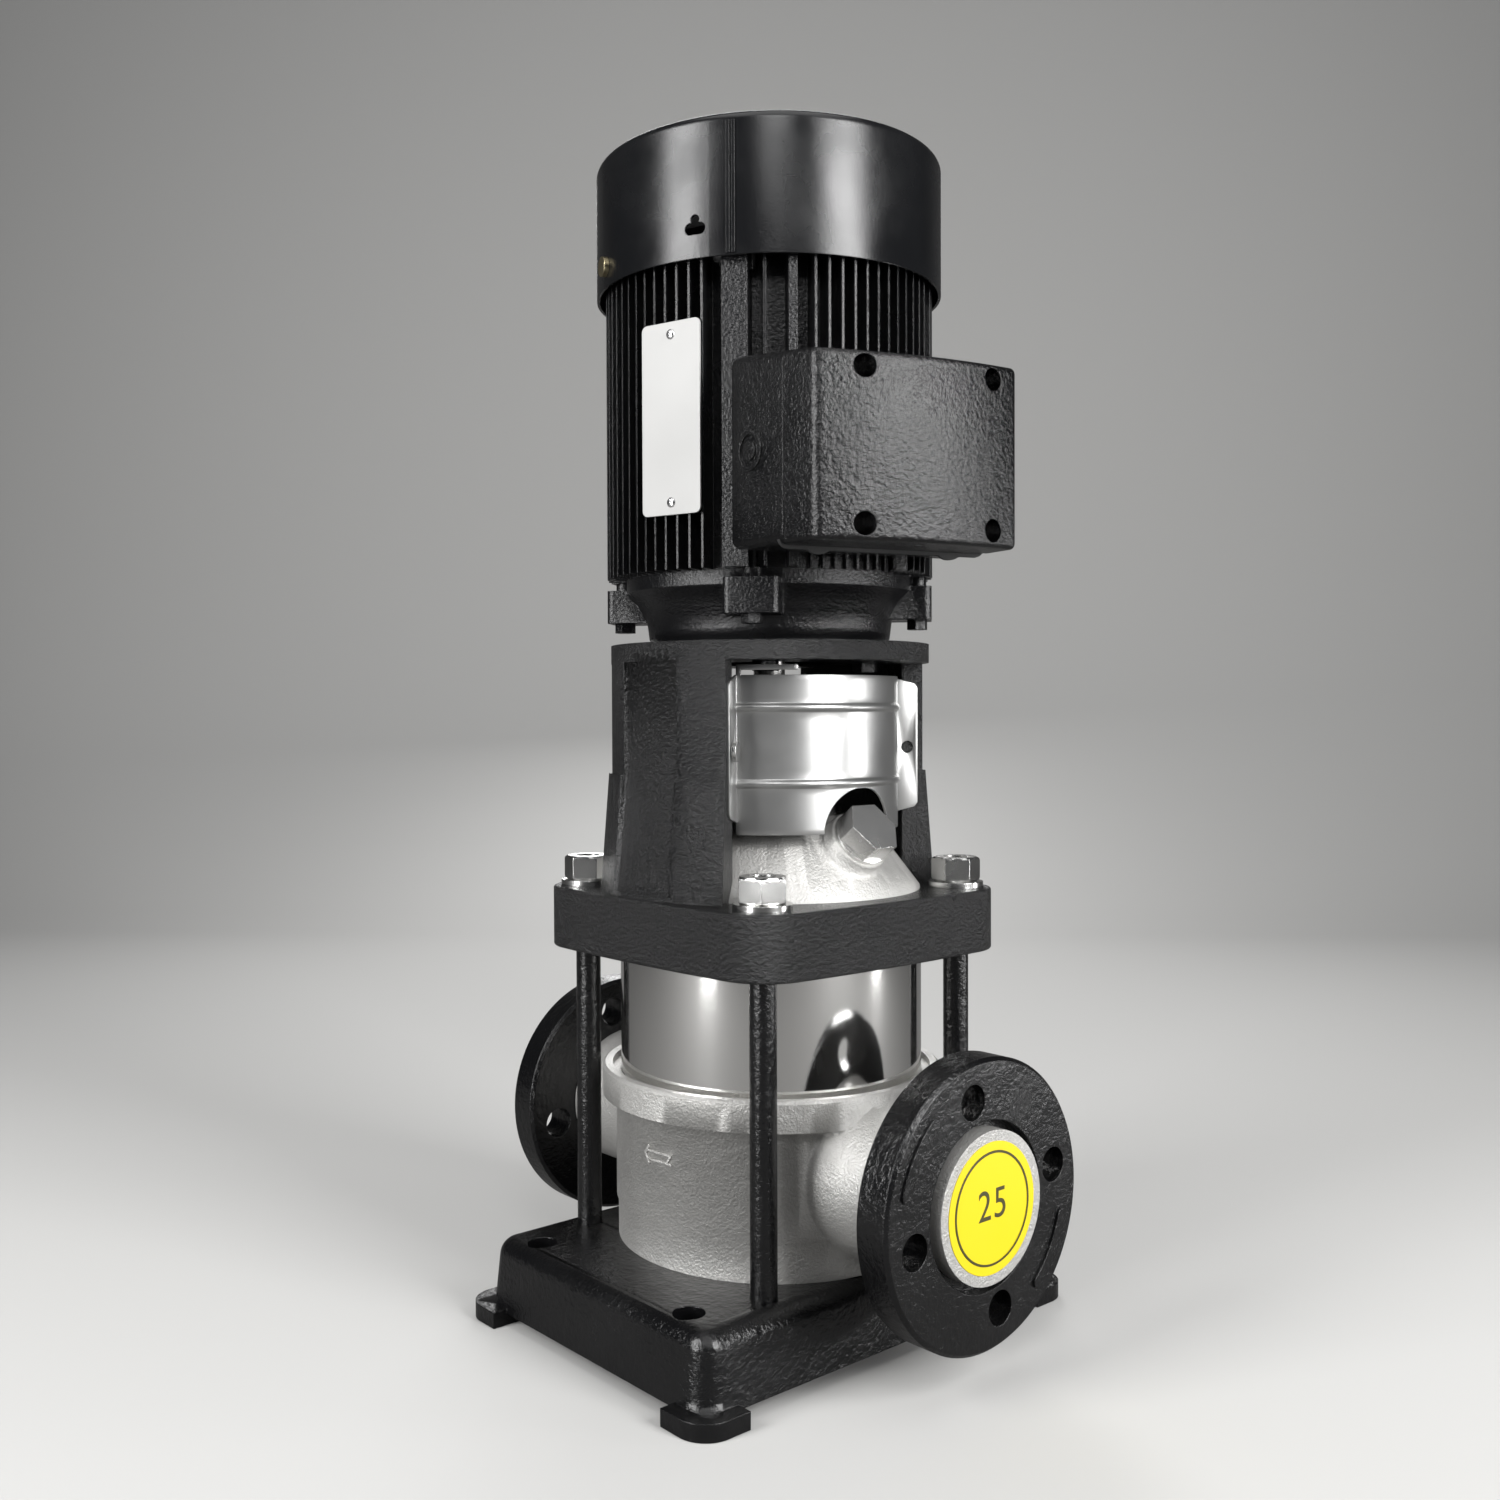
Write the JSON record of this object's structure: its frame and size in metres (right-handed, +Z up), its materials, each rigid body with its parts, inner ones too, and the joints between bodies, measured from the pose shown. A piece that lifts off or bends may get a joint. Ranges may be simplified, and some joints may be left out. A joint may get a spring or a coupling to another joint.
{
  "type": "vertical multistage centrifugal pump",
  "caption": "Vertical multistage in-line pump with a polished sleeve, loose port flanges, tie rods, a motor stool with coupling guards and a finned electric motor on top.",
  "frame": {"origin": "on the floor under the shaft's axis", "axes": "+Z up the shaft towards the motor's fan, +X along the inlet port's axis towards the inlet, +Y level and square to both, away from the terminal box's side"},
  "size_m": [0.2527, 0.221, 0.505],
  "materials": {
    "bearing_steel": "ground",
    "black_box_paint": "gloss with orange peel",
    "black_casting_paint": "gloss over a coarse sand casting",
    "black_cowl_paint": "satin",
    "black_gloss_paint": "gloss",
    "black_motor_paint": "satin",
    "block_plastic": "moulded",
    "cast_stainless": "shot-blasted casting",
    "ceramic_dark": "lapped",
    "coupling_iron": "machined",
    "fan_plastic": "moulded",
    "gasket_rubber": "matte",
    "guard_sheet": "bright rolled sheet",
    "lamination_steel": "laminated",
    "nameplate_foil": "satin",
    "polished_stainless": "mirror polished",
    "pressed_stainless": "pressed sheet",
    "rivet_aluminium": "bright",
    "stud_brass": "turned",
    "turned_stainless": "turned",
    "winding_copper": "varnished",
    "zinc_bright": "bright zinc plate",
    "zinc_yellow": "yellow zinc plate"
  },
  "bodies": {
    "pump_body": {"base_plate": "black_gloss_paint", "bearing_outer_rings": "bearing_steel", "coupling_guard_front": "guard_sheet", "coupling_guard_rear": "guard_sheet", "cowl_screws": "zinc_yellow", "drive_end_shield": "black_motor_paint", "fan_cowl": "black_cowl_paint", "fan_end_shield": "black_motor_paint", "frame_screws": "black_motor_paint", "gland_screws": "zinc_bright", "guard_screws": "zinc_bright", "lid_screws": "zinc_bright", "motor_bolts": "black_motor_paint", "motor_frame": "black_motor_paint", "motor_stool": "black_casting_paint", "nameplate": "nameplate_foil", "nameplate_rivets": "rivet_aluminium", "outer_sleeve": "polished_stainless", "priming_plug_washer": "turned_stainless", "pump_casing": "cast_stainless", "pump_head": "cast_stainless", "seal_gland": "turned_stainless", "seal_seat": "ceramic_dark", "shaft_bush": "ceramic_dark", "sleeve_gaskets": "gasket_rubber", "stage_chamber_1": "pressed_stainless", "stage_chamber_2": "pressed_stainless", "stage_chamber_3": "pressed_stainless", "stator_core": "lamination_steel", "stator_windings": "winding_copper", "suction_spacer": "pressed_stainless", "terminal_block": "block_plastic", "terminal_box_base": "black_box_paint", "terminal_box_gasket": "gasket_rubber", "terminal_box_lid": "black_box_paint", "terminal_box_screws": "zinc_bright", "terminal_studs": "stud_brass", "tie_rod_nuts": "zinc_bright", "tie_rod_washers": "zinc_bright", "tie_rods": "black_gloss_paint"},
    "rotor": {"pump_shaft": "turned_stainless", "shaft_nut": "turned_stainless", "impeller_1": "pressed_stainless", "impeller_2": "pressed_stainless", "impeller_3": "pressed_stainless", "impeller_spacers": "turned_stainless", "seal_rotary_ring": "ceramic_dark", "coupling_half_front": "coupling_iron", "coupling_half_rear": "coupling_iron", "coupling_bolts": "zinc_bright", "coupling_pin": "turned_stainless", "motor_shaft": "turned_stainless", "rotor_core": "lamination_steel", "bearing_inner_rings": "bearing_steel", "cooling_fan": "fan_plastic", "fan_clip": "bearing_steel"},
    "inlet_flange_ring": {"inlet_flange": "black_gloss_paint"},
    "outlet_flange_ring": {"outlet_flange": "black_gloss_paint"},
    "priming_plug_screw": {"priming_plug": "turned_stainless"},
    "drain_plug_screw": {"drain_plug": "turned_stainless"}
  },
  "joints": [
    {"name": "rotor_spin", "type": "hinge", "parent": "pump_body", "child": "rotor", "pos_m": [0, 0, 0.25], "axis": [0, 0, 1], "continuous": true},
    {"name": "inlet_flange_turn", "type": "hinge", "parent": "pump_body", "child": "inlet_flange_ring", "pos_m": [0.1145, 0, 0.075], "axis": [1, 0, 0], "continuous": true},
    {"name": "outlet_flange_turn", "type": "hinge", "parent": "pump_body", "child": "outlet_flange_ring", "pos_m": [-0.1145, 0, 0.075], "axis": [-1, 0, 0], "continuous": true},
    {"name": "priming_plug_out", "type": "slide", "parent": "pump_body", "child": "priming_plug_screw", "axis": [0.7964, 0, 0.6047], "range_m": [0, 0.02]},
    {"name": "drain_plug_out", "type": "slide", "parent": "pump_body", "child": "drain_plug_screw", "axis": [0, 1, 0], "range_m": [0, 0.02]}
  ]
}
